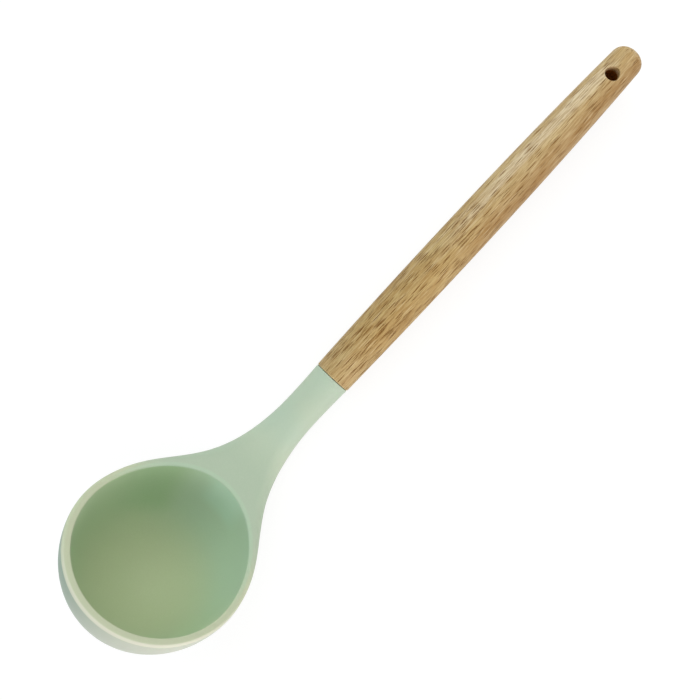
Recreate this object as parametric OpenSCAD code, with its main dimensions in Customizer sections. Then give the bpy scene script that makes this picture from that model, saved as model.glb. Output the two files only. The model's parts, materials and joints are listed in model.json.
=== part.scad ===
// Soup ladle: a soft moulded bowl and neck over a stiff core, glued into a turned wooden handle.
// It lies on a table, bowl upwards: +X points to the end of the handle and +Z points up.
// The head is drawn in the bowl's own frame, with its rim level and the neck towards +X.

/* [Bowl] */
// Inner radius of the bowl at its rim
bowl_inner_r = 33.6; // [28:0.1:40]
// Thickness of the bowl's wall, core included
wall = 3.2; // [2.8:0.1:5]
// Outer depth of the bowl below its rim
bowl_depth = 42.5; // [36:0.5:54]
// Fullness of the bowl's profile, where 2 is an ellipse and more is squarer
bowl_fullness = 2.05; // [2:0.05:3]
// Rounding of the rim's outer edge
rim_edge_r = 1.3; // [0.6:0.1:1.6]
// Rounding of the rim's inner edge
rim_lip_r = 0.6; // [0.3:0.1:1]

/* [Neck] */
// Angle of the handle above the plane of the rim
handle_angle = 50; // [40:1:60]
// Radius of the arc that carries the top of the rim up into the neck
sweep_r = 70; // [60:1:85]
// Straight length of the neck, from that arc to the handle
neck_straight = 36.5; // [28:0.5:48]
// Diameter of the neck where it meets the handle
neck_end_d = 16.9; // [15:0.1:19]
// Diameter of the neck at its waist
waist_d = 16; // [14:0.1:17]
// Distance from the handle back to the waist
waist_back = 18.6; // [12:0.2:24]
// Thickness of the neck where it leaves the bowl
neck_root_t = 13; // [12.4:0.1:16]
// Fullness of the neck's underside where it leaves the bowl, where 2 is an ellipse and more is squarer
root_fullness = 2.8; // [2:0.1:4]
// Length of neck between the rim's inner edge and the first full section of the neck
neck_root_l = 6; // [4:0.5:9]
// Angle round the bowl, measured from the neck, at which its side starts to flare
flare_angle = 82; // [70:1:95]
// Length over which the flare holds to the curve of the bowl
flare_hug = 28; // [18:0.5:32]
// Length over which the flare holds to the line of the neck
flare_run = 46.5; // [34:0.5:52]
// Depth below the rim at which the underside of the neck has run into the bowl
fillet_depth = 18; // [14:0.5:24]

/* [Core] */
// Wall of the stiff core inside the soft wall of the bowl
core_t = 1.4; // [1:0.1:1.8]
// Soft cover over the upper edge of the core
core_cover = 5; // [3:0.5:7]
// Diameter of the core's stem in the neck
stem_d = 6; // [5:0.1:7]
// Step from the straight stem down to its thinner, curved part
stem_step = 0.3; // [0.1:0.05:0.6]
// Diameter of the windows that lock the soft wall to the core
key_d = 6; // [3:0.5:8]
// Number of windows round the core
key_count = 8; // [4:1:12]
// Depth of the row of windows below the rim
key_depth = 22; // [18:0.5:28]

/* [Tang and glue] */
// Diameter of the core's tang in the handle
tang_d = 8; // [7:0.1:9]
// Length of tang inside the handle
tang_l = 46; // [30:1:60]
// Length of tang that is buried in the end of the neck
tang_root = 5; // [3:0.5:8]
// Number of glue grooves round the tang
groove_count = 4; // [2:1:6]
// Width of a glue groove
groove_w = 2; // [1:0.1:3]
// Depth of a glue groove
groove_t = 0.6; // [0.3:0.1:1]
// Thickness of glue round the tang
glue_t = 0.4; // [0.2:0.05:0.8]
// Thickness of glue past the end of the tang
glue_end = 2; // [1:0.1:4]
// Distance from the mouth of the bore down to the glue
glue_recess = 1; // [0.5:0.1:2]

/* [Handle] */
// Length of the handle
handle_l = 189.5; // [150:0.5:230]
// Gap between the neck and the handle
joint_gap = 0.2; // [0.1:0.05:0.4]
// Diameter of the handle at the neck
butt_d = 17.1; // [16:0.1:19]
// Diameter of the handle at its belly
belly_d = 18.7; // [17:0.1:21]
// Distance from the neck to the belly
belly_at = 75; // [60:1:95]
// Diameter of the handle at its far end, before the end is rounded
tip_d = 14.2; // [13:0.1:17]
// Length of the rounded end
tip_cap = 5; // [4:0.1:7]
// Bevel round the handle's edge at the neck
butt_bevel = 0.4; // [0.2:0.05:0.8]
// Diameter of the hanging hole
hole_d = 6.2; // [4:0.1:8]
// Distance from the far end to the centre of the hanging hole
hole_back = 15.8; // [12:0.2:26]

/* [Hidden] */
$fn = 64;

// Powers of the handle's long taper and of its rounded end
taper_power = 2.3;
cap_power = 2.5;
// Shares of its span that an underside curve keeps to the bowl's wall, and to the edge that it ends at
foot_pull = 0.5;
tip_pull = 0.22;
// Columns of the head: half of the far rim, one flare, half of the neck
rim_cols = 14;
flare_cols = 8;
neck_cols = 6;
// Rows of the head: outer wall, underside, rounded edge, flat top, lip, inner wall, neck rings
wall_rows = 8;
under_rows = 7;
edge_rows = 4;
top_rows = 2;
lip_rows = 2;
inner_rows = 11;
waist_rings = 8;
end_rings = 4;
// Slope of the inner wall's first row, and the step that finds a tangent
inner_start = 6;
nudge = 0.01;
// Steps of the bowl's profile, of the handle's shaft, rounded end and side view, and halvings of a search
profile_steps = 36;
shaft_steps = 18;
cap_steps = 9;
side_steps = 200;
halvings = 30;
// Overlap that lets a cut or a joined piece run clear of a face
cut = 1;

outer_r = bowl_inner_r + wall;
inner_depth = bowl_depth - wall;
neck_end_r = neck_end_d / 2;
waist_r = waist_d / 2;
skin = (wall - core_t) / 2;
arc_l = sweep_r * handle_angle * PI / 180;
neck_l = arc_l + neck_straight;
waist_a = neck_l - waist_back;
bore_d = tang_d + 2 * glue_t;
bore_l = tang_l + glue_end;

// Small helpers
function mix(p, q, f) = p + (q - p) * f;
function unit(v) = v / norm(v);
function ease(f) = f <= 0 ? 0 : f >= 1 ? 1 : f * f * (3 - 2 * f);
function bend(p, q, r, f) = mix(mix(p, q, f), mix(q, r, f), f);
function bezier(p, q, r, s, f) = mix(bend(p, q, r, f), bend(q, r, s, f), f);

// Top surface: level over the bowl, then an arc, then straight along the handle.
// A place on it is its length along the ladle from the bowl's centre, and its distance to one side.
function slope(a) = max(0, min(handle_angle, a / sweep_r * 180 / PI));
function top_x(a) = a < 0 ? a : sweep_r * sin(slope(a)) + max(0, a - arc_l) * cos(handle_angle);
function top_z(a) = sweep_r * (1 - cos(slope(a))) + max(0, a - arc_l) * sin(handle_angle);
function length_at(x) = x < 0 ? x : sweep_r * asin(x / sweep_r) * PI / 180;
function below(a, y, d) = [top_x(a) + d * sin(slope(a)), y, top_z(a) - d * cos(slope(a))];

// Bowl profile: 0 degrees is at the rim and 90 degrees at the bottom
function bowl_rad(r, f) = r * pow(cos(f), 2 / bowl_fullness);
function bowl_z(depth, f) = -depth * pow(sin(f), 2 / bowl_fullness);
function bowl_at(r, depth, f, turn) =
    [bowl_rad(r, f) * cos(turn), bowl_rad(r, f) * sin(turn), bowl_z(depth, f)];

// Outline of the head seen on its top surface: the far rim is 0 to 1 and the flare is 1 to 2
flare_from = [length_at(outer_r * cos(flare_angle)), outer_r * sin(flare_angle)];
flare_to = [waist_a, waist_r];
flare_pull = flare_from + flare_hug * [sin(flare_angle), -cos(flare_angle)];
flare_end = flare_to - [flare_run, 0];
function flare(f) = bezier(flare_from, flare_pull, flare_end, flare_to, f);
function rim_turn(f) = mix(180, flare_angle, f);
function rim(f) = [length_at(outer_r * cos(rim_turn(f))), outer_r * sin(rim_turn(f))];
function outline(f) = f < 1 ? rim(f) : flare(f - 1);
function inward(f) = let (along = outline(f + nudge) - outline(f - nudge)) unit([along[1], -along[0]]);
function plan_turn(p) = atan2(p[1], top_x(p[0]));

// The place on the flare where the neck has left the bowl's rim
root_a = length_at(bowl_inner_r) + neck_root_l;
function flare_find(lo, hi, n) = let (m = (lo + hi) / 2)
    n == 0 ? m : flare(m)[0] < root_a ? flare_find(m, hi, n - 1) : flare_find(lo, m, n - 1);
root_f = flare_find(0, 1, halvings);
root = flare(root_f);

// Section of the neck: a flat top with rounded sides over half an ellipse, and a circle at the handle
function edge(a) = mix(rim_edge_r, neck_end_r, ease(a / neck_l));
function edge_run(a, w) = min(edge(a), w);
function neck_ease(a) = ease((a - root[0]) / (neck_l - root[0]));
function thick(a) = mix(neck_root_t, neck_end_d, neck_ease(a));
function fullness(a) = mix(root_fullness, 2, neck_ease(a));
function full(v, power) = sign(v) * pow(abs(v), 2 / power);
function under(p, turn) =
    let (power = fullness(p[0]), drop = (thick(p[0]) - edge(p[0])) * full(sin(turn), power))
    below(p[0], p[1] * full(cos(turn), power), edge(p[0]) + drop);
function side_l(a) = edge(a) * PI / 2;
function half_top(p) = side_l(p[0]) + p[1] - edge_run(p[0], p[1]);
function over(p, s) = let (run = edge_run(p[0], p[1]), turn = 90 * s / side_l(p[0]))
    s < side_l(p[0]) ? below(p[0], p[1] - run * (1 - cos(turn)), edge(p[0]) * (1 - sin(turn)))
    : below(p[0], p[1] - run - (s - side_l(p[0])), 0);

// Columns of the head, round from the far side: place on the outline, and share of the way across
root_place = 1 + root_f;
side_places = concat(
    [for (i = [0 : rim_cols - 1]) i / rim_cols],
    [for (i = [0 : flare_cols - 1]) 1 + root_f * i / flare_cols]);
root_from = len(side_places);
root_upto = root_from + 2 * neck_cols;
columns = concat(
    [for (f = side_places) [f, 0]],
    [for (k = [0 : 2 * neck_cols]) [root_place, k / (2 * neck_cols)]],
    [for (i = [root_from - 1 : -1 : 1]) [side_places[i], 1]]);
column_count = len(columns);
function across(c) = 1 - 2 * c[1];
function col_turn(c) = across(c) * plan_turn(outline(c[0]));
function col_foot(c, rise) = bowl_at(outer_r, bowl_depth, fillet_at - rise, col_turn(c));
function col_low(c, ahead, round) = under(outline(c[0] + ahead), 180 * c[1] + round);
function col_high(c) = let (p = outline(c[0]), q = p + inward(c[0]) * edge(p[0])) [q[0], q[1] * across(c)];

// Underside of a column: up the bowl's wall, then a curve that leaves the wall and meets the edge smoothly
fillet_at = asin(pow(fillet_depth / bowl_depth, bowl_fullness / 2));
function low_normal(c) = unit(cross(
    col_low(c, nudge, 0) - col_low(c, -nudge, 0), col_low(c, 0, 1) - col_low(c, 0, -1)));
function under_curve(c, f) =
    let (foot = col_foot(c, 0), tip = col_low(c, 0, 0), n = low_normal(c))
    let (span = foot - tip, rise = unit(col_foot(c, nudge) - foot), fall = unit(span - n * (n * span)))
    bezier(foot, foot + rise * norm(span) * foot_pull, tip + fall * norm(span) * tip_pull, tip, f);
function low_rib(c) = concat(
    [for (i = [1 : wall_rows])
        bowl_at(outer_r, bowl_depth, mix(90, fillet_at, i / (wall_rows + 1)), col_turn(c))],
    [for (i = [0 : under_rows]) under_curve(c, i / under_rows)]);

// Rounded edge of a column, from its underside to its top
function edge_rib(c) = let (p = outline(c[0]), d = edge(p[0]), n = inward(c[0]))
    [for (i = [1 : edge_rows - 1]) let (turn = 90 * i / edge_rows, q = p + n * d * (1 - cos(turn)))
        below(q[0], q[1] * across(c), d * (1 - sin(turn)))];

// Top of a column, from its edge over the lip and down the inside of the bowl
function high_rib(c) =
    let (turn = col_turn(c), from = col_high(c))
    let (brim = [length_at(bowl_inner_r * cos(turn)), bowl_inner_r * sin(turn)])
    let (back = unit(from - brim) * rim_lip_r)
    concat(
        [for (i = [0 : top_rows - 1]) let (p = mix(from, brim + back, i / top_rows)) below(p[0], p[1], 0)],
        [for (i = [0 : lip_rows]) let (roll = 90 * i / lip_rows, p = brim + back * (1 - sin(roll)))
            [top_x(p[0]), p[1], top_z(p[0]) - rim_lip_r * (1 - cos(roll))]],
        [for (i = [0 : inner_rows - 1])
            bowl_at(bowl_inner_r, inner_depth, mix(inner_start, 90, i / inner_rows), turn)]);

// Rings of the neck, from the bowl's rim to the handle
neck_places = concat(
    [for (i = [1 : waist_rings]) flare(mix(root_f, 1, i / waist_rings))],
    [for (i = [1 : end_rings])
        [waist_a + waist_back * i / end_rings, mix(waist_r, neck_end_r, pow(i / end_rings, 2))]]);
root_side = side_l(root[0]);
top_shares = concat(
    [for (i = [1 : edge_rows]) root_side * i / edge_rows],
    [for (i = [1 : neck_cols]) mix(root_side, half_top(root), i / neck_cols)]) / half_top(root);
function flip_y(p) = [p[0], -p[1], p[2]];
function ring(p) =
    let (side = [for (f = top_shares) over(p, f * half_top(p))], n = len(side))
    concat(
        [for (k = [0 : 2 * neck_cols]) under(p, 180 * k / (2 * neck_cols))],
        [for (i = [0 : n - 1]) flip_y(side[i])],
        [for (i = [n - 2 : -1 : 0]) side[i]]);

// The head as one closed surface: points, then faces that look at them by number
module head_form() {
    low = [for (c = columns) low_rib(c)];
    high = [for (c = columns) high_rib(c)];
    sides = [for (i = [0 : column_count - 1]) if (i <= root_from || i >= root_upto) i];
    edges = [for (i = sides) edge_rib(columns[i])];
    rings = [for (p = neck_places) ring(p)];
    low_n = len(low[0]);
    high_n = len(high[0]);
    edge_n = edge_rows - 1;
    ring_n = len(rings[0]);
    high_0 = column_count * low_n;
    edge_0 = high_0 + column_count * high_n;
    ring_0 = edge_0 + len(sides) * edge_n;
    tips_0 = ring_0 + len(rings) * ring_n;
    points = concat(
        [for (rib = low) each rib], [for (rib = high) each rib], [for (rib = edges) each rib],
        [for (loop = rings) each loop], [[0, 0, -bowl_depth], [0, 0, -inner_depth]]);

    function next(i) = (i + 1) % column_count;
    function low_id(i, r) = i * low_n + r;
    function high_id(i, r) = high_0 + i * high_n + r;
    function side_id(i) = i <= root_from ? i : i - (root_upto - root_from) + 1;
    function edge_id(i, r) =
        r == 0 ? low_id(i, low_n - 1)
        : r == edge_rows ? high_id(i, 0)
        : edge_0 + side_id(i) * edge_n + r - 1;
    // A patch between two columns is cut into two triangles, and the cuts of the two sides mirror each other
    function halves(a, b, c, d, mirrored) = mirrored ? [[a, b, d], [b, c, d]] : [[a, b, c], [a, c, d]];
    function far_side(i) = i >= column_count / 2;
    function low_patch(i, r) =
        halves(low_id(i, r), low_id(i, r + 1), low_id(next(i), r + 1), low_id(next(i), r), far_side(i));
    function edge_patch(i, r) =
        halves(edge_id(i, r), edge_id(i, r + 1), edge_id(next(i), r + 1), edge_id(next(i), r), far_side(i));
    function high_patch(i, r) =
        halves(high_id(i, r), high_id(i, r + 1), high_id(next(i), r + 1), high_id(next(i), r), far_side(i));

    // The first ring of the neck is made of the ends of the columns that meet it
    root_ring = concat(
        [for (i = [root_from : root_upto]) low_id(i, low_n - 1)],
        [for (r = [1 : edge_n]) edge_id(root_upto, r)],
        [for (i = [root_upto : -1 : root_from]) high_id(i, 0)],
        [for (r = [edge_n : -1 : 1]) edge_id(root_from, r)]);
    function ring_id(n, k) = n == 0 ? root_ring[k % ring_n] : ring_0 + (n - 1) * ring_n + k % ring_n;
    function ring_far(k) = k >= neck_cols && k < neck_cols + ring_n / 2;
    function ring_patch(n, k) =
        halves(ring_id(n, k), ring_id(n + 1, k), ring_id(n + 1, k + 1), ring_id(n, k + 1), ring_far(k));

    all_columns = [0 : column_count - 1];
    faces = concat(
        [for (i = all_columns) [tips_0, low_id(i, 0), low_id(next(i), 0)]],
        [for (i = all_columns) for (r = [0 : low_n - 2]) each low_patch(i, r)],
        [for (i = all_columns) if (i < root_from || i >= root_upto)
            for (r = [0 : edge_n]) each edge_patch(i, r)],
        [for (i = all_columns) for (r = [0 : high_n - 2]) each high_patch(i, r)],
        [for (i = all_columns) [high_id(i, high_n - 1), tips_0 + 1, high_id(next(i), high_n - 1)]],
        [for (n = [0 : len(rings) - 1]) for (k = [0 : ring_n - 1]) each ring_patch(n, k)],
        [[for (k = [ring_n - 1 : -1 : 0]) ring_id(len(rings), k)]]);
    polyhedron(points, faces, convexity = 6);
}

// Joint frame: origin where the neck ends, +X along the handle
joint = below(neck_l, 0, neck_end_r);
module at_joint() {
    translate(joint)
        rotate([0, -handle_angle, 0])
            children();
}
module along_handle() {
    rotate([0, 90, 0])
        children();
}

// Stem and tang as one turned rod, with the glue grooves cut into it
groove_pitch = tang_l / (groove_count + 1);
function groove_step(i) =
    let (at = groove_pitch * i, deep = tang_d / 2 - groove_t)
    [[tang_d / 2, at - groove_w / 2], [deep, at - groove_w / 2],
     [deep, at + groove_w / 2], [tang_d / 2, at + groove_w / 2]];
module rod() {
    rod_outline = concat(
        [[0, -neck_straight - cut], [stem_d / 2, -neck_straight - cut]],
        [[stem_d / 2, -tang_root], [tang_d / 2, -tang_root]],
        [for (i = [1 : groove_count]) each groove_step(i)],
        [[tang_d / 2, tang_l], [0, tang_l]]);
    at_joint() along_handle() rotate_extrude() polygon(rod_outline);
}

// The stem follows the arc of the neck down to the bowl
module stem_arc() {
    translate([0, 0, sweep_r])
        rotate([90, 0, 0])
            rotate([0, 0, -90])
                rotate_extrude(angle = handle_angle)
                    translate([sweep_r + neck_end_r, 0])
                        circle(d = stem_d - 2 * stem_step);
}

// Solid of revolution with the bowl's profile, carried up past the raised part of the rim
module bowl_solid(r, depth, rise) {
    turns = [for (i = [0 : profile_steps - 1]) 90 * i / profile_steps];
    side = [for (f = turns) [bowl_rad(r, f), bowl_z(depth, f)]];
    rotate_extrude()
        polygon(concat([[0, rise], [r, rise]], side, [[0, -depth]]));
}

// Everything that lies deeper than a cover below the top surface
module under_cover(cover) {
    half = outer_r + cut;
    far_a = length_at(outer_r);
    line = [for (i = [0 : rim_cols]) let (p = below(far_a * i / rim_cols, 0, cover)) [p[0], p[2]]];
    rotate([90, 0, 0])
        linear_extrude(2 * half, center = true)
            polygon(concat(
                [[-half, -bowl_depth - cut], [-half, -cover]], line,
                [[line[rim_cols][0], -bowl_depth - cut]]));
}

// Parts of the ladle
module core_form() {
    rise = sweep_r;
    difference() {
        union() {
            intersection() {
                bowl_solid(outer_r - skin, bowl_depth - skin, rise);
                under_cover(core_cover);
            }
            stem_arc();
            rod();
        }
        bowl_solid(bowl_inner_r + skin, inner_depth + skin, rise);
        translate([0, 0, -key_depth])
            for (i = [0 : key_count - 1])
                rotate([0, 90, 360 * (i + 0.5) / key_count])
                    cylinder(h = outer_r + cut, d = key_d);
        translate([0, 0, -bowl_depth - cut])
            cylinder(h = bowl_depth, d = key_d);
    }
}

// Radius of the handle at a distance from its butt
function belly_r(s) = s < belly_at
    ? mix(butt_d, belly_d, 1 - pow(1 - s / belly_at, 2)) / 2
    : mix(belly_d, tip_d, pow((s - belly_at) / (handle_l - belly_at), taper_power)) / 2;
function into_cap(s) = max(0, s - handle_l + tip_cap) / tip_cap;
function cap_share(s) = pow(max(0, 1 - pow(into_cap(s), cap_power)), 1 / cap_power);
function handle_r(s) = belly_r(s) * cap_share(s);
shaft_stations = [for (i = [1 : shaft_steps]) (handle_l - tip_cap) * i / shaft_steps];
cap_stations = [for (i = [1 : cap_steps - 1]) handle_l - tip_cap * (1 - sin(90 * i / cap_steps))];
handle_side = concat(
    [[butt_d / 2 - butt_bevel, 0], [handle_r(butt_bevel), butt_bevel]],
    [for (s = concat(shaft_stations, cap_stations)) [handle_r(s), s]]);

// Pose on the table: the underside of the bowl and of the handle's belly both touch it.
// A side point is its place along the handle and its height above the handle's axis.
function side_view(x, z) = let (dx = x - joint[0], dz = z - joint[2])
    [dx * cos(handle_angle) + dz * sin(handle_angle), dz * cos(handle_angle) - dx * sin(handle_angle)];
bowl_points = [for (side = [-1, 1]) for (f = [0 : 90])
    side_view(side * bowl_rad(outer_r, f), bowl_z(bowl_depth, f))];
handle_points = [for (i = [0 : side_steps]) let (s = handle_l * i / side_steps)
    [joint_gap + s, -handle_r(s)]];
function height(p, pitch) = p[1] * cos(pitch) + p[0] * sin(pitch);
function reach(p, pitch) = p[0] * cos(pitch) - p[1] * sin(pitch);
function lowest(points, pitch) = min([for (p = points) height(p, pitch)]);
function settle(lo, hi, n) = let (m = (lo + hi) / 2)
    n == 0 ? m
    : lowest(bowl_points, m) > lowest(handle_points, m) ? settle(m, hi, n - 1) : settle(lo, m, n - 1);
pitch = settle(-30, 30, halvings);
floor_z = lowest(bowl_points, pitch);
near_x = min([for (p = bowl_points) reach(p, pitch)]);
far_x = max([for (p = handle_points) reach(p, pitch)]);

module lay() {
    translate([-(near_x + far_x) / 2, 0, -floor_z])
        rotate([0, handle_angle - pitch, 0])
            translate(-joint)
                children();
}

module silicone_head() {
    color("#b9cdb5")
        lay()
            difference() {
                head_form();
                core_form();
            }
}

module core() {
    color("#3c3f3e")
        lay() core_form();
}

module adhesive() {
    color("#e6dcb8")
        lay()
            difference() {
                at_joint()
                    translate([joint_gap + glue_recess, 0, 0])
                        along_handle() cylinder(h = bore_l - glue_recess, d = bore_d);
                rod();
            }
}

module wood_handle() {
    color("#bd9c69")
        lay()
            at_joint()
                translate([joint_gap, 0, 0])
                    difference() {
                        along_handle()
                            rotate_extrude() polygon(concat([[0, 0]], handle_side, [[0, handle_l]]));
                        translate([-cut, 0, 0])
                            along_handle() cylinder(h = bore_l + cut, d = bore_d);
                        translate([handle_l - hole_back, 0, 0])
                            cylinder(h = belly_d + 2 * cut, d = hole_d, center = true);
                    }
}

silicone_head();
core();
adhesive();
wood_handle();
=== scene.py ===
# Looks of a soup ladle: a soft moulded head on a turned wooden handle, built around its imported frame.
import json
from math import asin, atan2, copysign, cos, pi, radians, sin, sqrt, tau

import bmesh
import bpy
from mathutils import Matrix, Vector


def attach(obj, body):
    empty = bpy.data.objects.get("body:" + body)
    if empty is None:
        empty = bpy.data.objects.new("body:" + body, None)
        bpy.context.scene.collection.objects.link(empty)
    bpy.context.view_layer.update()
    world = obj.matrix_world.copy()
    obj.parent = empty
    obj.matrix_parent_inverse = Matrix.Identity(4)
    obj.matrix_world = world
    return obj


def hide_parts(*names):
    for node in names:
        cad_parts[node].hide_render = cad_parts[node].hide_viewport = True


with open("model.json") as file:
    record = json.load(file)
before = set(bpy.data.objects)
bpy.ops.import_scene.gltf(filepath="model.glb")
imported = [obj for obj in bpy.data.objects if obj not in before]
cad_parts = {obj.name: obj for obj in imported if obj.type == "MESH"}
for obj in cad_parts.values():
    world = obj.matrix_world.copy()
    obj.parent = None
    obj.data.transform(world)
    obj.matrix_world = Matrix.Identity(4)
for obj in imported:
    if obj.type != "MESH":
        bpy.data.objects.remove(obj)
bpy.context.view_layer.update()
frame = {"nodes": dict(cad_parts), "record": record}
MM = 0.001

# Sizes of the bowl, in millimetres, and the fullness of its curve
bowl_inner_r = 33.6
wall = 3.2
bowl_depth = 42.5
bowl_fullness = 2.05
rim_edge_r = 1.3
rim_lip_r = 0.6

# Sizes of the neck, in millimetres, its angles, and the fullness and pulls of its curves
handle_angle = radians(50)
sweep_r = 70
neck_straight = 36.5
neck_end_d = 16.9
waist_d = 16
waist_back = 18.6
neck_root_t = 13
root_fullness = 2.8
round_fullness = 2
neck_root_l = 6
flare_angle = radians(82)
flare_hug = 28
flare_run = 46.5
fillet_depth = 18
foot_pull = 0.5
tip_pull = 0.22
neck_end_round = 0.3
tang_hole_r = 4.05
tang_hole_l = 4

# Sizes of the handle, in millimetres, and the powers of its taper and its round end
handle_l = 189.5
joint_gap = 0.2
butt_d = 17.1
belly_d = 18.7
belly_at = 75
tip_d = 14.2
tip_cap = 5
taper_power = 2.3
cap_power = 2.5
butt_bevel = 0.4
hole_r = 3.1
hole_back = 15.8
hole_round = 0.35
bore_r = 4.4
bore_l = 48

# Head's mesh: counts of columns, rows and subdivisions, the angle at which the inside's rows start,
# and how finely its places are found
rim_cols = 24
flare_cols = 16
neck_cols = 10
wall_rows = 12
under_rows = 12
edge_rows = 4
top_rows = 3
lip_rows = 3
inner_rows = 18
waist_rings = 14
end_rings = 7
inner_start = radians(6)
nudge = 0.01
halvings = 30
head_levels = 1

# Softening of the head's underside: where it is full and where it ends, in millimetres from a corner
soften_full = 4.8
soften_none = 20.8
soften_share = 0.5
soften_rounds = 40

# Handle's mesh: counts of columns and rows, and half the size of the squares left open for the hole
turns_round = 96
half_turn = turns_round // 2
patch_half = 9
patch_l = 4.4
patch_rows = 4
shaft_rows = 48
end_rows = 8
cap_rows = 10
bore_rows = 6

# Derived sizes
outer_r = bowl_inner_r + wall
inner_depth = bowl_depth - wall
neck_end_r = neck_end_d / 2
waist_r = waist_d / 2
arc_l = sweep_r * handle_angle
neck_l = arc_l + neck_straight
waist_a = neck_l - waist_back

# Directions and the joint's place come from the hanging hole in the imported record
hole_mount = frame["record"]["mounts"][0]
side_way = Vector((0, 1, 0))
handle_up = Vector(hole_mount["axis"]).normalized()
handle_way = side_way.cross(handle_up)
hole_at = handle_l - hole_back
joint = Vector(hole_mount["pos_m"]) - handle_way * (joint_gap + hole_at) * MM


def mix(p, q, f):
    return p + (q - p) * f


def ease(f):
    f = min(1, max(0, f))
    return f * f * (3 - 2 * f)


def bezier(p, q, r, s, f):
    a, b, c = mix(p, q, f), mix(q, r, f), mix(r, s, f)
    return mix(mix(a, b, f), mix(b, c, f), f)


def full(v, power):
    """A sine or cosine for a fuller curve than a circle's. A power of 2 leaves it as it is."""
    return copysign(abs(v) ** (2 / power), v)


def quarter(step, steps):
    """Angle at a step of a quarter turn."""
    return pi / 2 * step / steps


# Top surface of the head: level over the bowl, then an arc, then straight along the handle.
# A place on it is its length along the ladle from the bowl's centre, and its distance to one side.
def slope(a):
    return min(handle_angle, max(0, a / sweep_r))


def top_x(a):
    return a if a < 0 else sweep_r * sin(slope(a)) + max(0, a - arc_l) * cos(handle_angle)


def top_z(a):
    return sweep_r * (1 - cos(slope(a))) + max(0, a - arc_l) * sin(handle_angle)


def length_at(x):
    return x if x < 0 else sweep_r * asin(x / sweep_r)


def below(a, y, d):
    """Point at a depth under a place on the top surface."""
    return Vector((top_x(a) + d * sin(slope(a)), y, top_z(a) - d * cos(slope(a))))


def bowl_at(r, depth, f, turn):
    """Point on a bowl of this radius and depth: an angle down from its rim, and a turn round it."""
    out = r * full(cos(f), bowl_fullness)
    return Vector((out * cos(turn), out * sin(turn), -depth * full(sin(f), bowl_fullness)))


# Outline of the head on its top surface: the far rim is 0 to 1 and the flare is 1 to 2
flare_from = Vector((length_at(outer_r * cos(flare_angle)), outer_r * sin(flare_angle)))
flare_to = Vector((waist_a, waist_r))
flare_pull = flare_from + flare_hug * Vector((sin(flare_angle), -cos(flare_angle)))
flare_end = flare_to - Vector((flare_run, 0))


def flare(f):
    return bezier(flare_from, flare_pull, flare_end, flare_to, f)


def outline(f):
    if f >= 1:
        return flare(f - 1)
    turn = mix(pi, flare_angle, f)
    return Vector((length_at(outer_r * cos(turn)), outer_r * sin(turn)))


def inward(f):
    along = outline(f + nudge) - outline(f - nudge)
    return Vector((along.y, -along.x)).normalized()


def find_root():
    """Share of the flare at which the neck has left the bowl's rim."""
    low, high = 0, 1
    wanted = length_at(bowl_inner_r) + neck_root_l
    for _ in range(halvings):
        middle = (low + high) / 2
        if flare(middle).x < wanted:
            low = middle
        else:
            high = middle
    return middle


root_f = find_root()
root = flare(root_f)


# Section of the neck: a flat top with rounded sides over a full underside, and a circle at the handle
def edge(a):
    return mix(rim_edge_r, neck_end_r, ease(a / neck_l))


def neck_ease(a):
    return ease((a - root.x) / (neck_l - root.x))


def under(p, turn):
    thick = mix(neck_root_t, neck_end_d, neck_ease(p.x))
    power = mix(root_fullness, round_fullness, neck_ease(p.x))
    drop = (thick - edge(p.x)) * full(sin(turn), power)
    return below(p.x, p.y * full(cos(turn), power), edge(p.x) + drop)


def side_l(a):
    return edge(a) * pi / 2


def half_top(p):
    return side_l(p.x) + p.y - min(edge(p.x), p.y)


def over(p, s):
    run = min(edge(p.x), p.y)
    if s >= side_l(p.x):
        return below(p.x, p.y - run - (s - side_l(p.x)), 0)
    turn = s / edge(p.x)
    return below(p.x, p.y - run * (1 - cos(turn)), edge(p.x) * (1 - sin(turn)))


# Columns of the head, round from the far side: place on the outline, and share of the way across
side_places = [i / rim_cols for i in range(rim_cols)]
side_places += [1 + root_f * i / flare_cols for i in range(flare_cols)]
root_from = len(side_places)
root_upto = root_from + 2 * neck_cols
columns = [(f, 0) for f in side_places]
columns += [(1 + root_f, k / (2 * neck_cols)) for k in range(2 * neck_cols + 1)]
columns += [(f, 1) for f in reversed(side_places[1:])]
fillet_at = asin((fillet_depth / bowl_depth) ** (bowl_fullness / 2))


def across(c):
    return 1 - 2 * c[1]


def col_turn(c):
    p = outline(c[0])
    return across(c) * atan2(p.y, top_x(p.x))


def col_foot(c, rise):
    return bowl_at(outer_r, bowl_depth, fillet_at - rise, col_turn(c))


def col_low(c, ahead, turned):
    return under(outline(c[0] + ahead), pi * c[1] + turned)


def low_rib(c):
    """Underside of a column: up the bowl's wall, then over a curve that meets the edge."""
    foot, tip = col_foot(c, 0), col_low(c, 0, 0)
    ahead = col_low(c, nudge, 0) - col_low(c, -nudge, 0)
    turned = col_low(c, 0, nudge) - col_low(c, 0, -nudge)
    normal = ahead.cross(turned).normalized()
    span = foot - tip
    rise = (col_foot(c, nudge) - foot).normalized() * span.length * foot_pull
    fall = (span - normal * normal.dot(span)).normalized() * span.length * tip_pull
    steps = [mix(pi / 2, fillet_at, i / (wall_rows + 1)) for i in range(1, wall_rows + 1)]
    rib = [bowl_at(outer_r, bowl_depth, f, col_turn(c)) for f in steps]
    shares = [i / under_rows for i in range(under_rows + 1)]
    return rib + [bezier(foot, foot + rise, tip + fall, tip, f) for f in shares]


def edge_rib(c):
    """Rounded edge of a column, between its underside and its top."""
    p, n = outline(c[0]), inward(c[0])
    d = edge(p.x)
    rib = []
    for i in range(1, edge_rows):
        turn = quarter(i, edge_rows)
        q = p + n * d * (1 - cos(turn))
        rib.append(below(q.x, q.y * across(c), d * (1 - sin(turn))))
    return rib


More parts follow.
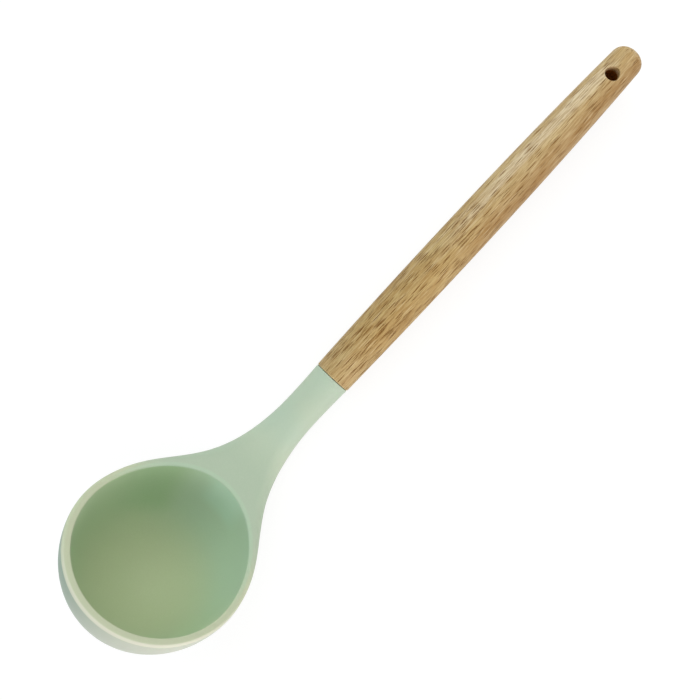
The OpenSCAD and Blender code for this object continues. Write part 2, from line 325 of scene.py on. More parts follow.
def high_rib(c):
    """Top of a column, from its edge over the lip and down the inside of the bowl."""
    p = outline(c[0])
    start = p + inward(c[0]) * edge(p.x)
    start.y *= across(c)
    turn = col_turn(c)

    def brim(outward):
        r = bowl_inner_r + outward
        return Vector((length_at(r * cos(turn)), r * sin(turn)))

    flat = [mix(start, brim(rim_lip_r), i / top_rows) for i in range(top_rows)]
    rib = [below(q.x, q.y, 0) for q in flat]
    for i in range(lip_rows + 1):
        roll = quarter(i, lip_rows)
        q = brim(rim_lip_r * (1 - sin(roll)))
        rib.append(Vector((top_x(q.x), q.y, top_z(q.x) - rim_lip_r * (1 - cos(roll)))))
    steps = [mix(inner_start, pi / 2, i / inner_rows) for i in range(inner_rows)]
    return rib + [bowl_at(bowl_inner_r, inner_depth, f, turn) for f in steps]


# Shares of the way over the neck's top, from its side to its middle, as at the root
root_side = side_l(root.x)
top_steps = [root_side * i / edge_rows for i in range(1, edge_rows + 1)]
top_steps += [mix(root_side, half_top(root), i / neck_cols) for i in range(1, neck_cols + 1)]
top_shares = [s / half_top(root) for s in top_steps]


def ring(p):
    """Ring round the neck: its underside from side to side, then its top back again."""
    side = [over(p, f * half_top(p)) for f in top_shares]
    loop = [under(p, pi * k / (2 * neck_cols)) for k in range(2 * neck_cols + 1)]
    loop += [Vector((q.x, -q.y, q.z)) for q in side]
    return loop + side[-2::-1]


def neck_end_places():
    """Lengths and radii from the waist to the handle, over the rounded end and into the tang's hole."""
    places = []
    for i in range(1, end_rings + 1):
        f = i / end_rings
        a = waist_a + (waist_back - neck_end_round) * f
        places.append((a, mix(waist_r, neck_end_r, f * f)))
    for i in range(1, edge_rows + 1):
        turn = quarter(i, edge_rows)
        a = neck_l - neck_end_round * (1 - sin(turn))
        places.append((a, neck_end_r - neck_end_round * (1 - cos(turn))))
    places += [(neck_l, tang_hole_r + neck_end_round), (neck_l, tang_hole_r)]
    return places + [(neck_l - tang_hole_l, tang_hole_r)]


def neck_rings():
    """Rings from the bowl's rim to the waist, and on to the bottom of the tang's hole."""
    rings = [ring(flare(mix(root_f, 1, i / waist_rings))) for i in range(1, waist_rings + 1)]
    widest = ring(Vector((neck_l, neck_end_r)))
    centre = below(neck_l, 0, neck_end_r)
    for a, r in neck_end_places():
        if r > tang_hole_r + neck_end_round and a < neck_l - neck_end_round:
            rings.append(ring(Vector((a, r))))
        else:
            back = below(a, 0, neck_end_r) - centre
            rings.append([centre + back + (q - centre) * r / neck_end_r for q in widest])
    return rings


class Skin:
    """Points and faces of one mesh, gathered loop by loop. A tint is the number of a face's material."""

    def __init__(self):
        self.points = []
        self.faces = []
        self.tints = []

    def add(self, points):
        first = len(self.points)
        self.points += points
        return list(range(first, len(self.points)))

    def face(self, corners, tint=0):
        self.faces.append(corners)
        self.tints.append(tint)

    def strip(self, left, right, closed=False, tint=0):
        n = len(left)
        for k in range(n if closed else n - 1):
            m = (k + 1) % n
            self.face((left[k], left[m], right[m], right[k]), tint)

    def tube(self, loops, tint=0):
        for left, right in zip(loops, loops[1:]):
            self.strip(left, right, closed=True, tint=tint)

    def fan(self, loop, tip, tint=0):
        for k in range(len(loop)):
            self.face((loop[k], loop[(k + 1) % len(loop)], tip), tint)

    def build(self, name, place, materials, tidy=None):
        """Makes the piece, with its points placed in the row frame and its faces turned outward."""
        mesh = bpy.data.meshes.new(name)
        mesh.from_pydata([place(p) for p in self.points], [], self.faces)
        for material in materials:
            mesh.materials.append(material)
        mesh.polygons.foreach_set("material_index", self.tints)
        shape = bmesh.new()
        shape.from_mesh(mesh)
        if tidy:
            tidy(shape)
        loose = [v for v in shape.verts if not v.link_faces]
        bmesh.ops.delete(shape, geom=loose, context="VERTS")
        bmesh.ops.recalc_face_normals(shape, faces=shape.faces)
        shape.to_mesh(mesh)
        shape.free()
        mesh.shade_smooth()
        piece = bpy.data.objects.new(name, mesh)
        bpy.context.scene.collection.objects.link(piece)
        return piece


def subdivide(piece, levels):
    modifier = piece.modifiers.new("Subdivision", "SUBSURF")
    modifier.levels = levels
    modifier.render_levels = levels


# Places in the row frame
bowl_way = handle_way * cos(handle_angle) - handle_up * sin(handle_angle)
bowl_up = handle_way * sin(handle_angle) + handle_up * cos(handle_angle)
neck_end = below(neck_l, 0, neck_end_r)
bowl_middle = joint - (bowl_way * neck_end.x + bowl_up * neck_end.z) * MM


def from_bowl(p):
    """A point in the bowl's own frame, with its rim level, in millimetres."""
    return bowl_middle + (bowl_way * p.x + side_way * p.y + bowl_up * p.z) * MM


def from_handle(p):
    """A point along the handle from its butt, to one side and above its axis, in millimetres."""
    return joint + (handle_way * (joint_gap + p.x) + side_way * p.y + handle_up * p.z) * MM


# Head
def soften(shape, chosen, corners):
    """Evens out the chosen points near the corners where the flare and the neck meet."""
    shape.verts.ensure_lookup_table()
    for _ in range(soften_rounds):
        moves = {}
        for i in chosen:
            v = shape.verts[i]
            away = min((v.co - c).length for c in corners) / MM
            weight = ease((soften_none - away) / (soften_none - soften_full))
            if weight > 0:
                around = [e.other_vert(v).co for e in v.link_edges]
                moves[v] = v.co.lerp(sum(around, Vector()) / len(around), soften_share * weight)
        for v, co in moves.items():
            v.co = co


def make_head(material):
    skin = Skin()
    low = [skin.add(low_rib(c)) for c in columns]
    high = [skin.add(high_rib(c)) for c in columns]
    count = len(columns)
    on_side = [i <= root_from or i >= root_upto for i in range(count)]
    edges = [skin.add(edge_rib(c)) if on_side[i] else [] for i, c in enumerate(columns)]
    rings = [skin.add(r) for r in neck_rings()]
    root_ring = [low[i][-1] for i in range(root_from, root_upto + 1)] + edges[root_upto]
    root_ring += [high[i][0] for i in range(root_upto, root_from - 1, -1)] + edges[root_from][::-1]
    for i in range(count):
        j = (i + 1) % count
        skin.strip(low[i], low[j])
        skin.strip(high[i], high[j])
        if i < root_from or i >= root_upto:
            skin.strip([low[i][-1], *edges[i], high[i][0]], [low[j][-1], *edges[j], high[j][0]])
    skin.tube([root_ring, *rings])
    hole_tip = below(neck_l - tang_hole_l, 0, neck_end_r)
    tips = skin.add([Vector((0, 0, -bowl_depth)), Vector((0, 0, -inner_depth)), hole_tip])
    loops = [[rib[0] for rib in low], [rib[-1] for rib in high], rings[-1]]
    for loop, tip in zip(loops, tips):
        skin.fan(loop, tip)

    underside = {v for rib in low for v in rib[:-1]}
    underside |= {v for r in rings[:waist_rings] for v in r[1:2 * neck_cols]}
    underside |= {low[i][-1] for i in range(root_from + 1, root_upto)}
    corners = [from_bowl(skin.points[low[i][-1]]) for i in (root_from, root_upto)]

    def tidy(shape):
        soften(shape, underside, corners)

    piece = skin.build("silicone_bowl_and_neck", from_bowl, [material], tidy)
    subdivide(piece, head_levels)
    return piece


# Handle
def handle_r(s):
    """Radius at a length from the butt: fullest at the belly, then a taper and a round end."""
    if s < belly_at:
        r = mix(butt_d, belly_d, 1 - (1 - s / belly_at) ** 2) / 2
    else:
        r = mix(belly_d, tip_d, ((s - belly_at) / (handle_l - belly_at)) ** taper_power) / 2
    into_cap = max(0, s - handle_l + tip_cap) / tip_cap
    return r * max(0, 1 - into_cap ** cap_power) ** (1 / cap_power)


def handle_stations():
    """Lengths with their radii, and the numbers of the first and last at the hanging hole."""
    bevel = []
    for i in range(edge_rows):
        turn = quarter(i, edge_rows)
        s = butt_bevel * (1 - cos(turn))
        bevel.append((s, handle_r(butt_bevel) - butt_bevel * (1 - sin(turn))))
    start, stop = hole_at - patch_l, hole_at + patch_l
    places = [mix(butt_bevel, start, i / shaft_rows) for i in range(shaft_rows)]
    first = len(bevel) + len(places)
    places += [mix(start, stop, i / (2 * patch_half)) for i in range(2 * patch_half)]
    last = len(bevel) + len(places)
    places += [mix(stop, handle_l - tip_cap, i / end_rows) for i in range(end_rows)]
    places += [handle_l - tip_cap * (1 - sin(quarter(i, cap_rows))) for i in range(cap_rows)]
    return bevel + [(s, handle_r(s)) for s in places], first, last


def add_loop(skin, s, r):
    turns = [tau * j / turns_round for j in range(turns_round)]
    return skin.add([Vector((s, r * sin(t), r * cos(t))) for t in turns])


def on_patch(j):
    """Whether a column of faces lies between the sides of the squares at the top and the bottom."""
    off = (j + half_turn // 2) % half_turn - half_turn // 2
    return -patch_half <= off < patch_half


def patch_square(first, last):
    """Loops and columns of the points round a square, in order."""
    square = [(first, j) for j in range(-patch_half, patch_half)]
    square += [(i, patch_half) for i in range(first, last)]
    square += [(last, j) for j in range(patch_half, -patch_half, -1)]
    square += [(i, -patch_half) for i in range(last, first, -1)]
    return square


def add_mouth(skin, rim, side):
    """Stitches a mouth of the hanging hole to the square left open for it, then rounds it over."""
    middle = Vector((hole_at, 0))
    flat = [Vector(skin.points[v][:2]) for v in rim]
    ways = [(p - middle).normalized() for p in flat]
    lips = [middle + w * (hole_r + hole_round) for w in ways]

    def height(p):
        return side * sqrt(handle_r(p.x) ** 2 - p.y ** 2)

    rows = [rim]
    for k in range(1, patch_rows + 1):
        spots = [mix(p, q, k / patch_rows) for p, q in zip(flat, lips)]
        rows.append(skin.add([Vector((*p, height(p))) for p in spots]))
    for k in range(1, edge_rows + 1):
        turn = quarter(k, edge_rows)
        points = []
        for w, q in zip(ways, lips):
            p = q - w * hole_round * sin(turn)
            points.append(Vector((*p, height(q) - side * hole_round * (1 - cos(turn)))))
        rows.append(skin.add(points))
    skin.tube(rows)
    return rows[-1]


def make_handle(outside, bored):
    skin = Skin()
    stations, first, last = handle_stations()
    loops = [add_loop(skin, s, r) for s, r in stations]
    for i, (left, right) in enumerate(zip(loops, loops[1:])):
        for j in range(turns_round):
            k = (j + 1) % turns_round
            if not (first <= i < last and on_patch(j)):
                skin.face((left[j], left[k], right[k], right[j]))

    # Round end, flat butt and the bore for the tang
    skin.fan(loops[-1], skin.add([Vector((handle_l, 0, 0))])[0])
    bore = [add_loop(skin, 0, bore_r), add_loop(skin, bore_l, bore_r)]
    skin.tube([loops[0], bore[0]])
    skin.tube(bore, tint=1)
    skin.fan(bore[1], skin.add([Vector((bore_l, 0, 0))])[0], tint=1)

    # Hanging hole, from its upper mouth to its lower one
    square = patch_square(first, last)
    top = add_mouth(skin, [loops[i][j % turns_round] for i, j in square], 1)
    bottom = add_mouth(skin, [loops[i][half_turn - j] for i, j in square], -1)
    pairs = [(skin.points[a], skin.points[b]) for a, b in zip(top, bottom)]
    rows = [skin.add([mix(p, q, k / bore_rows) for p, q in pairs]) for k in range(1, bore_rows)]
    skin.tube([top, *rows, bottom], tint=1)
    return skin.build("turned_handle", from_handle, [outside, bored])


# Materials
def linear(r, g, b):
    """A colour written as on a screen, from 0 to 255, as the numbers that a shader takes."""
    parts = [c / 255 for c in (r, g, b)]
    return (*[c / 12.92 if c < 0.04045 else ((c + 0.055) / 1.055) ** 2.4 for c in parts], 1)


def grey(tone):
    return (tone, tone, tone, 1)


class Nodes:
    """Nodes of a material or a world. An input is a number, a colour or another node's socket."""

    def __init__(self, owner):
        owner.use_nodes = True
        self.tree = owner.node_tree

    def node(self, kind, inputs=None, **settings):
        node = self.tree.nodes.new(kind)
        for key, value in settings.items():
            setattr(node, key, value)
        self.put(node, inputs or {})
        return node

    def feed(self, socket, value):
        if isinstance(value, bpy.types.NodeSocket):
            self.tree.links.new(value, socket)
        else:
            socket.default_value = value

    def put(self, node, inputs):
        for key, value in inputs.items():
            self.feed(node.inputs[key], value)

    def math(self, operation, a, b=0):
        return self.node("ShaderNodeMath", {0: a, 1: b}, operation=operation).outputs[0]

    def between(self, value, span, ends=(0, 1)):
        """Goes smoothly from one end to the other while a value crosses a span."""
        names = ("From Min", "From Max", "To Min", "To Max")
        inputs = {"Value": value, **dict(zip(names, (*span, *ends)))}
        return self.node("ShaderNodeMapRange", inputs, interpolation_type="SMOOTHSTEP").outputs["Result"]

    def show(self, output, lighting, seen):
        """One shader lights the scene. The other is what the camera, reflections and glass show."""
        path = self.node("ShaderNodeLightPath").outputs
        direct = path["Is Camera Ray"]
        for name in ("Is Glossy Ray", "Is Transmission Ray"):
            direct = self.math("MAXIMUM", direct, path[name])
        inputs = {0: direct, 1: lighting.outputs[0], 2: seen.outputs[0]}
        pick = self.node("ShaderNodeMixShader", inputs)
        self.put(self.tree.nodes[output], {"Surface": pick.outputs[0]})


class Look(Nodes):
    """One procedural material of the ladle, which follows places on it."""

    def __init__(self, name, shine):
        self.material = bpy.data.materials.new(name)
        super().__init__(self.material)
        self.shader = self.tree.nodes["Principled BSDF"]
        self.place = self.node("ShaderNodeTexCoord").outputs["Object"]
        self.put(self.shader, shine)

    def turn_to(self, middle, way, up):
        """Takes places from a point of the ladle, with one axis along a way there and one up from it."""
        offset = [-middle.dot(axis) for axis in (way, side_way, up)]
        self.place = self.mapped(Rotation=(0, asin(way.z), 0), Location=offset)

    def parts(self):
        return self.node("ShaderNodeSeparateXYZ", {"Vector": self.place}).outputs

    def mapped(self, **inputs):
        return self.node("ShaderNodeMapping", {"Vector": self.place, **inputs}).outputs["Vector"]

    def noise(self, scale, detail=2, roughness=0.5, offset=(0, 0, 0)):
        inputs = {"Vector": self.mapped(Scale=scale, Location=offset), "Scale": 1, "Detail": detail,
                  "Roughness": roughness}
        return self.node("ShaderNodeTexNoise", inputs).outputs["Fac"]

    def cells(self, scale, offset):
        """Distance to the nearest of many scattered points, and a number drawn for that point."""
        inputs = {"Vector": self.mapped(Scale=scale, Location=offset), "Scale": 1}
        found = self.node("ShaderNodeTexVoronoi", inputs)
        drawn = self.node("ShaderNodeSeparateColor", {"Color": found.outputs["Color"]})
        return found.outputs["Distance"], drawn.outputs["Red"]

    def zone(self, place, span, ends=(0, 1)):
        """As between, for a place on the ladle and a span in millimetres."""
        return self.between(place, [s * MM for s in span], ends)

    def times(self, first, *others):
        for other in others:
            first = self.math("MULTIPLY", first, other)
        return first

    def plus(self, a, b):
        return self.math("ADD", a, b)

    def minus(self, a, b):
        return self.math("SUBTRACT", a, b)

    def size_of(self, value):
        return self.math("ABSOLUTE", value)

    def toward(self, way, along, aside):
        """How far a place lies towards a level way."""
        return self.plus(self.times(along, way[0]), self.times(aside, way[1]))

    def blend(self, share, a, b):
        node = self.node("ShaderNodeMix", data_type="RGBA")
        sockets = {s.identifier: s for s in [*node.inputs, *node.outputs]}
        for key, value in (("Factor_Float", share), ("A_Color", a), ("B_Color", b)):
            self.feed(sockets[key], value)
        return sockets["Result_Color"]

    def bowl_reach(self, along, aside, depth):
        """How far a place lies from the bowl's middle: 1 on its inner wall, and more outside it."""
        under_rim = self.math("MINIMUM", depth, 0)
        place = self.node("ShaderNodeCombineXYZ", {0: along, 1: aside, 2: under_rim}).outputs[0]
        scale = [1 / (size * MM) for size in (bowl_inner_r, bowl_inner_r, inner_depth)]
        shares = self.node("ShaderNodeVectorMath", {0: place, 1: scale}, operation="MULTIPLY").outputs[0]
        return self.node("ShaderNodeVectorMath", {0: shares}, operation="LENGTH").outputs["Value"]

    def over_top(self, along, depth):
        """Height of a place over the head's top surface, which is level and then rises in an arc."""
        swept = self.math("MAXIMUM", along, 0)
        fall = self.math("SQRT", self.minus((sweep_r * MM) ** 2, self.times(swept, swept)))
        return self.plus(depth, self.minus(fall, sweep_r * MM))

    def bump(self, height, depth):
        """Raises the surface by a pattern, to a depth in millimetres."""
        inputs = {"Height": height, "Distance": depth * MM}
        self.put(self.shader, {"Normal": self.node("ShaderNodeBump", inputs).outputs["Normal"]})


# Silicone: shine, patterns to a metre, tones and their shares
silicone_shine = {
    "Specular IOR Level": 0.25,
    "Subsurface Weight": 0.1,
    "Subsurface Scale": 1,
    "Subsurface Radius": (0.002, 0.003, 0.002),
    "Sheen Weight": 0.2,
    "Sheen Roughness": 0.4,
}
silicone_rough = (0.5, 0.6)
cloud_noise = {"scale": (22, 22, 22)}
grain_noise = {"scale": (1500, 1500, 1500), "detail": 3}
noise_span = (0.3, 0.7)
grain_depth = 0.04
cloud_tones = (linear(186, 205, 185), linear(193, 206, 182))
# Painted light on the bowl's outer wall: darker and cooler on one side, paler and warmer where the light
# falls
wall_lit_tones = (linear(154, 176, 159), linear(211, 215, 198))
rim_tone = linear(198, 206, 177)
# Painted highlight along the rim's rounded outer edge on its lit side
rim_highlight_tone = linear(226, 226, 208)
# Painted shade on the flare's top where the neck leaves the rim
neck_root_shade_tone = linear(179, 196, 174)
# Painted highlight along the inner lip, towards the neck
lip_highlight_tone = linear(180, 207, 180)
lip_highlight_shares = (0, 0.5)
# Inside the bowl, painted light and shade: a cooler lit right wall, a warmer lit bottom and painted
# shade on the upper wall
hollow_lit_tones = (linear(179, 202, 163), linear(177, 201, 173))
bottom_lit_tone = linear(186, 201, 164)
shaded_tone = linear(165, 194, 152)
by_neck_tone = linear(183, 211, 187)
fleck_tone = linear(214, 220, 204)
fleck_span = (0.35, 0.75)
fleck_shares = (0, 0.08)

# Silicone: level ways across the bowl along which painted light falls, as shares along the ladle and to
# one side
wall_light_way = (-0.733, -0.68)
lit_way = (-0.92, -0.39)
cool_light_way = (0.9, -0.43)

# Silicone: where a tone starts and is full, in millimetres along a way and over the rim.
# Heights of the lip and the inside are over the top surface instead.
free_side_along = (34, 12)
wall_height = (-0.8, -1.4)
rim_height = (-1.4, -0.8)
wall_lit_front = (6, 44)
rim_highlight_front = (4, 34)
neck_root_start = (10, 30)
neck_root_stop = (56, 42)
lip_along = (0, 15)
lip_height = (-1.4, -0.8)
inside_height = (-0.3, -0.9)
hollow_cool_lit = (4, 30)
bottom_height = (-16, -36)
shaded_height = (-27, -17)
by_neck_height = (-11, -4)

# Silicone: the same as shares of the inner wall's reach, and as turns round the bowl, in radians
rim_edge_reach = (1.062, 1.078)
lip_reach = (1.055, 1.03)
inside_reach = (1.03, 1.005)
shaded_start = (0.35, 0.7)
shaded_stop = (1.5, 0.8)
by_neck_start = (-0.5, -0.2)
by_neck_stop = (0.3, 0.05)


def silicone_outside(look, along, aside, depth, reach):
    """Tone of the neck and the bowl's wall: painted light on the wall, painted shade at the neck's root,
    a paler rim and a painted highlight on its edge.
    """
    free_side = look.zone(along, free_side_along)
    colour = look.blend(look.between(look.noise(**cloud_noise), noise_span), *cloud_tones)
    # Painted light on the wall below the rim: darker on one side, paler where the light falls
    lit_side = look.toward(wall_light_way, along, aside)
    wall_lit_tone = look.blend(look.zone(lit_side, wall_lit_front), *wall_lit_tones)
    colour = look.blend(look.times(look.zone(depth, wall_height), free_side), colour, wall_lit_tone)
    rim = look.times(look.zone(depth, rim_height), free_side)
    colour = look.blend(rim, colour, rim_tone)
    # Painted shade on the flare's top near the neck's root
    neck_root_shade = look.times(look.zone(along, neck_root_start), look.zone(along, neck_root_stop))
    colour = look.blend(neck_root_shade, colour, neck_root_shade_tone)
    # Painted highlight along the rim's outer edge, on the side where the light falls
    lit = look.zone(look.toward(lit_way, along, aside), rim_highlight_front)
    rim_highlight = look.times(rim, look.between(reach, rim_edge_reach), lit)
    return look.blend(rim_highlight, colour, rim_highlight_tone)


def silicone_inside(look, along, aside, depth):
    """Tone of the hollow, with painted light and shade: a cooler lit right wall, a warmer lit bottom,
    painted shade on the upper wall and a lighter wall by the neck.
    """
    # Painted cool light on the right wall
    right = look.zone(look.toward(cool_light_way, along, aside), hollow_cool_lit)
    colour = look.blend(right, *hollow_lit_tones)
    # Painted warm light on the bottom
    colour = look.blend(look.zone(depth, bottom_height), colour, bottom_lit_tone)
    turn = look.math("ARCTAN2", aside, along)
    shaded = look.times(look.between(turn, shaded_start), look.between(turn, shaded_stop))
    shaded = look.times(shaded, look.zone(depth, shaded_height))
    colour = look.blend(shaded, colour, shaded_tone)
    by_neck = look.times(look.between(turn, by_neck_start), look.between(turn, by_neck_stop))
    by_neck = look.times(by_neck, look.zone(depth, by_neck_height))
    return look.blend(by_neck, colour, by_neck_tone)


def silicone():
    """Matt pale green rubber: a fine moulded grain, a deeper tone inside the bowl with painted light and
    shade, a paler rim and painted highlights on its edges.
    """
    look = Look("silicone", silicone_shine)
    look.turn_to(bowl_middle, bowl_way, bowl_up)
    along, aside, depth = look.parts()
    reach = look.bowl_reach(along, aside, depth)
    height = look.over_top(along, depth)
    colour = silicone_outside(look, along, aside, depth, reach)
    # Painted highlight along the inner lip, strongest towards the neck
    lip_highlight = look.times(look.between(reach, lip_reach), look.zone(height, lip_height))
    colour = look.blend(look.times(lip_highlight, look.zone(along, lip_along, lip_highlight_shares)), colour, lip_highlight_tone)
    inside = look.times(look.between(reach, inside_reach), look.zone(height, inside_height))
    colour = look.blend(inside, colour, silicone_inside(look, along, aside, depth))
    grain = look.noise(**grain_noise)
    colour = look.blend(look.between(grain, fleck_span, fleck_shares), colour, fleck_tone)
    rough = look.between(grain, noise_span, silicone_rough)
    look.put(look.shader, {"Base Color": colour, "Roughness": rough})
    look.bump(grain, grain_depth)
    return look.material


# Wood: shine, and patterns to a metre along and across the handle with the spans that are used of them
wood_shine = {"Specular IOR Level": 0.15, "Sheen Weight": 0.1, "Sheen Roughness": 0.5}
bored_shine = {"Specular IOR Level": 0}
wood_rough = (0.5, 0.75)
patch_noise = {"scale": (45, 330, 330), "detail": 3, "roughness": 0.6, "offset": (0.3, 0.2, 0.7)}
patch_span = (0.35, 0.65)
streak_noise = {"scale": (9, 260, 260), "offset": (4, 1, 6)}
streak_span = (0.52, 0.7)
drift_noise = {"scale": (14, 120, 120), "offset": (1, 8, 3)}
fibre_noise = {"scale": (130, 2400, 2400), "offset": (2, 5, 1)}
fibre_span = (0.43, 0.58)
ray_cells = {"scale": (90, 1700, 1700), "offset": (5, 7, 9)}
ray_span = (0.4, 0.2)
ray_drawn = (0.5, 0.8)

# Wood: tones, with the shares of those that don't cover
near_tones = (linear(184, 150, 95), linear(199, 171, 116))
far_tones = (linear(194, 163, 111), linear(211, 186, 139))
# Painted shade on one side of the handle's outer part
shaded_side_tones = (linear(174, 139, 91), linear(191, 162, 116))
butt_tone = linear(208, 184, 140)
butt_shares = (0, 0.35)
streak_tone = linear(231, 212, 179)
streak_shares = (0.2, 0.85)
band_tone = linear(233, 215, 183)
band_shares = (0, 0.68)
fibre_tone = linear(152, 112, 56)
fibre_share = 0.45
ray_tone = linear(218, 194, 150)
ray_shares = (0, 0.6)
pore_tone = linear(126, 86, 34)
# Painted highlight along the butt's cut edge
arris_highlight_tone = linear(216, 190, 142)
arris_highlight_shares = (0, 0.6)
# Bored wood: darker drilled end grain at the mouth, and painted shade that deepens into the hole
bore_grain_and_shade_tone = linear(138, 80, 22)
bore_shares = (0.2, 1)

# Wood: where a tone starts and is full, in millimetres along the handle, to one side or over its axis
far_along = (50, 150)
butt_along = (26, 6)
outer_along = (60, 105)
shaded_side_aside = (0.5, -5.5)
band_aside = 4.3
band_drift = 3
band_off = (2.7, 0.4)
band_stop = (184, 168)
band_over = (0, 1)
arris_along = (1, 0.4)
# Painted shade in the bore deepens over these heights
bore_over = (5.6, 3)

# Wood: layers of pores, each with its pattern, the reach of a pore within its cell, and its strength
pore_layers = [
    ({"scale": (125, 2000, 2000), "offset": (0.95, 2, 3)}, 0.42, 0.95),
    ({"scale": (95, 1650, 1650), "offset": (0.9, 2, 3)}, 0.38, 0.9),
    ({"scale": (75, 1400, 1400), "offset": (0.85, 2, 3)}, 0.32, 0.85),
]
pore_core = 0.18
pore_drawn = (0.2, 0.45)
fewer_in_patches = 0.3
fewer_far = 0.3
fibre_rise = 0.25
pore_rise = -1
wood_depth = 0.1


def pale_band(look, along, aside, above):
    """Share of the pale band that runs along one side of the handle's top and stops near the hole."""
    drift = look.plus(aside, look.times(look.noise(**drift_noise), band_drift * MM))
    band = look.zone(look.size_of(look.minus(drift, band_aside * MM)), band_off)
    return look.times(band, look.zone(along, band_stop), look.zone(above, band_over, band_shares))


def wood_ground(look, along, aside, above, patches, far):
    """Tone of the wood under its grain: patches, pale streaks, painted shade on one side and a pale
    band.
    """
    colour = look.blend(far, look.blend(patches, *near_tones), look.blend(patches, *far_tones))
    colour = look.blend(look.zone(along, butt_along, butt_shares), colour, butt_tone)
    streaks = look.between(look.noise(**streak_noise), streak_span)
    streaks = look.times(streaks, look.between(far, (0, 1), streak_shares))
    colour = look.blend(streaks, colour, streak_tone)
    outer = look.zone(along, outer_along)
    # Painted shade on one side of the handle's outer part
    painted_shade = look.times(outer, look.zone(aside, shaded_side_aside))
    colour = look.blend(painted_shade, colour, look.blend(patches, *shaded_side_tones))
    band = look.times(outer, pale_band(look, along, aside, above))
    return look.blend(band, colour, band_tone)


def wood_pores(look, patches, far):
    """Share of the short dark pores, which are fewer in pale patches and towards the far end."""
    clear = look.plus(look.times(patches, fewer_in_patches), look.times(far, fewer_far))
    pores = 0
    for pattern, reach, strength in pore_layers:
        distance, drawn = look.cells(**pattern)
        kept = look.between(look.minus(drawn, clear), pore_drawn, (0, strength))
        layer = look.times(look.between(distance, (reach, pore_core)), kept)
        pores = look.math("MAXIMUM", layer, pores)
    return pores


def wood(name, bored=False):
    """Pale hardwood with fibres, rays and pores along the handle, painted shade on one side, a painted
    highlight along the butt's edge, and darker where it is bored: drilled end grain with painted shade
    that deepens into the hole.
    """
    look = Look(name, bored_shine if bored else wood_shine)
    look.turn_to(joint, handle_way, handle_up)
    along, aside, above = look.parts()
    far = look.zone(along, far_along)
    patches = look.between(look.noise(**patch_noise), patch_span)
    colour = wood_ground(look, along, aside, above, patches, far)
    fibres = look.between(look.noise(**fibre_noise), fibre_span)
    colour = look.blend(look.times(fibres, fibre_share), colour, fibre_tone)
    distance, drawn = look.cells(**ray_cells)
    rays = look.times(look.between(distance, ray_span), look.between(drawn, ray_drawn, ray_shares))
    colour = look.blend(rays, colour, ray_tone)
    pores = wood_pores(look, patches, far)
    colour = look.blend(pores, colour, pore_tone)
    # Painted highlight along the butt's cut edge
    colour = look.blend(look.zone(along, arris_along, arris_highlight_shares), colour, arris_highlight_tone)
    if bored:
        # Darker drilled end grain, with painted shade that deepens into the hole
        painted_shade = look.zone(look.size_of(above), bore_over, bore_shares)
        colour = look.blend(painted_shade, colour, bore_grain_and_shade_tone)
    look.put(look.shader, {"Base Color": colour, "Roughness": look.between(pores, (0, 1), wood_rough)})
    look.bump(look.plus(look.times(fibres, fibre_rise), look.times(pores, pore_rise)), wood_depth)
    return look.material


# Hidden pieces: roughness, scale of the clouds to a metre, tones, and scale and depth of the grain
hidden_looks = {
    "nylon": (0.5, 160, (linear(56, 60, 58), linear(68, 71, 69)), 2200, 0.03),
    "glue": (0.25, 240, (linear(226, 214, 176), linear(236, 226, 194)), 700, 0.05),
}


def plain(name):
    """A plain material with faint clouds and a fine grain."""
    rough, clouds, tones, grain, depth = hidden_looks[name]
    look = Look(name, {"Roughness": rough})
    look.put(look.shader, {"Base Color": look.blend(look.noise((clouds, clouds, clouds)), *tones)})
    look.bump(look.noise((grain, grain, grain)), depth)
    return look.material


# Stage: a white floor that keeps the shadow, a white world and soft lights, with lengths in metres.
# The floor's diffuse tones are for lighting the ladle and for being seen, and its glow grows outward.
floor_half = 2.0
floor_bounce = 0.6
floor_tone = 0.22
floor_glow = (0.84, 1.0)
glow_away = (0.3, 1.0)
world_strength = 0.4
light_far = 1.2
light_size = 0.8

# Lights: bearing in the picture, anticlockwise from its right, rise over the floor, power and colour
lights = {
    "key": (radians(298), radians(14), 9.5, (1, 0.97, 0.96)),
    "back": (radians(90), radians(38), 2.7, (1, 1, 1)),
    "warm": (radians(45), radians(38), 2.8, (1, 0.9, 0.77)),
    "cool": (radians(145), radians(38), 3.8, (0.8, 1, 0.97)),
    "top": (radians(0), radians(90), 1.2, (1, 1, 1)),
}

# The photograph looks straight down at the handle, with the ladle rolled a little about it.
# Its focal length, and its centre from the joint along the handle and aside, are in pixels.
photo_side = 700
pixel = 0.43 * MM
focal = 700
roll = radians(5.6)
handle_turn = radians(47.1)
centre_along = 32.4
centre_aside = 5.7
sensor_mm = 36
nearest_seen = 0.01


def floor_material():
    material = bpy.data.materials.new("floor")
    nodes = Nodes(material)
    nodes.tree.nodes.remove(nodes.tree.nodes["Principled BSDF"])
    lighting = nodes.node("ShaderNodeBsdfDiffuse", {"Color": grey(floor_bounce)})
    shown = nodes.node("ShaderNodeBsdfDiffuse", {"Color": grey(floor_tone)})
    place = nodes.node("ShaderNodeTexCoord").outputs["Object"]
    away = nodes.node("ShaderNodeVectorMath", {0: place}, operation="LENGTH").outputs["Value"]
    glow = nodes.node("ShaderNodeEmission", {"Strength": nodes.between(away, glow_away, floor_glow)})
    seen = nodes.node("ShaderNodeAddShader", {0: shown.outputs[0], 1: glow.outputs[0]})
    nodes.show("Material Output", lighting, seen)
    return material


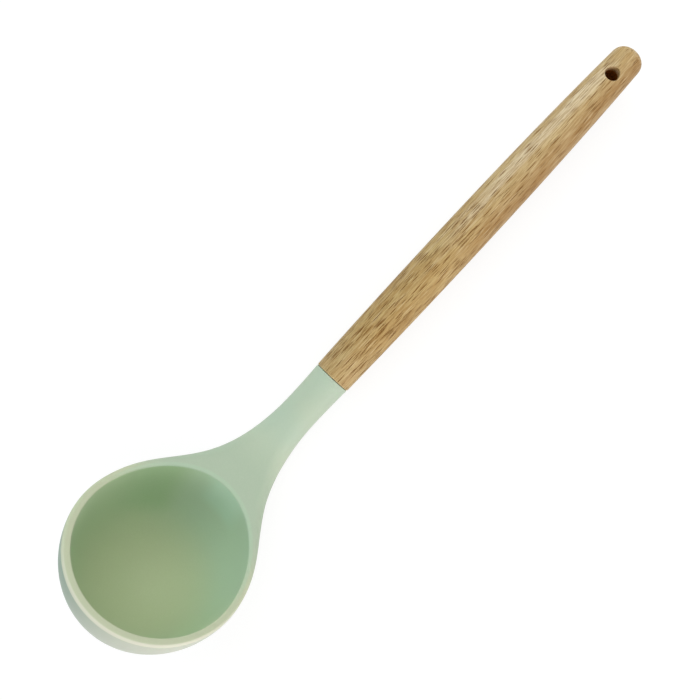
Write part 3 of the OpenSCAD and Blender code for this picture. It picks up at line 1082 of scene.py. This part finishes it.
def make_floor():
    mesh = bpy.data.meshes.new("floor")
    corners = [(-1, -1), (1, -1), (1, 1), (-1, 1)]
    mesh.from_pydata([(x * floor_half, y * floor_half, 0) for x, y in corners], [], [(0, 1, 2, 3)])
    mesh.materials.append(floor_material())
    floor = bpy.data.objects.new("floor", mesh)
    bpy.context.scene.collection.objects.link(floor)


def make_world():
    world = bpy.data.worlds.new("studio")
    bpy.context.scene.world = world
    nodes = Nodes(world)
    lighting = nodes.tree.nodes["Background"]
    nodes.put(lighting, {"Color": grey(1), "Strength": world_strength})
    nodes.show("World Output", lighting, nodes.node("ShaderNodeBackground", {"Color": grey(1)}))


def make_light(name, bearing, rise, power, colour):
    turn = bearing - handle_turn
    flat = handle_way.xy.normalized() * cos(turn) + side_way.xy * sin(turn)
    away = Vector((*flat * cos(rise), sin(rise)))
    light = bpy.data.lights.new(name, "AREA")
    light.size = light_size
    light.energy = power
    light.color = colour
    lamp = bpy.data.objects.new(name, light)
    lamp.location = away * light_far
    lamp.rotation_euler = away.to_track_quat("Z", "Y").to_euler()
    bpy.context.scene.collection.objects.link(lamp)


def make_camera():
    back = handle_up * cos(roll) - side_way * sin(roll)
    aside = side_way * cos(roll) + handle_up * sin(roll)
    right = handle_way * cos(handle_turn) - aside * sin(handle_turn)
    up = handle_way * sin(handle_turn) + aside * cos(handle_turn)
    place = joint + (handle_way * centre_along + aside * centre_aside + back * focal) * pixel
    data = bpy.data.cameras.new("camera")
    data.sensor_width = sensor_mm
    data.lens = sensor_mm * focal / photo_side
    data.clip_start = nearest_seen
    camera = bpy.data.objects.new("camera", data)
    turn = Matrix((right, up, back)).transposed()
    camera.matrix_world = Matrix.Translation(place) @ turn.to_4x4()
    bpy.context.scene.collection.objects.link(camera)
    bpy.context.scene.camera = camera


make_camera()

head = make_head(silicone())
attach(head, "root")
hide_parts("silicone_head")

handle = make_handle(wood("wood"), wood("bored_wood", bored=True))
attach(handle, "root")
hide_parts("wood_handle")

for node, look_name in (("core", "nylon"), ("adhesive", "glue")):
    materials = frame["nodes"][node].data.materials
    materials.clear()
    materials.append(plain(look_name))

make_floor()
make_world()
for light_name, settings in lights.items():
    make_light(light_name, *settings)

bpy.context.scene.view_settings.view_transform = "Standard"
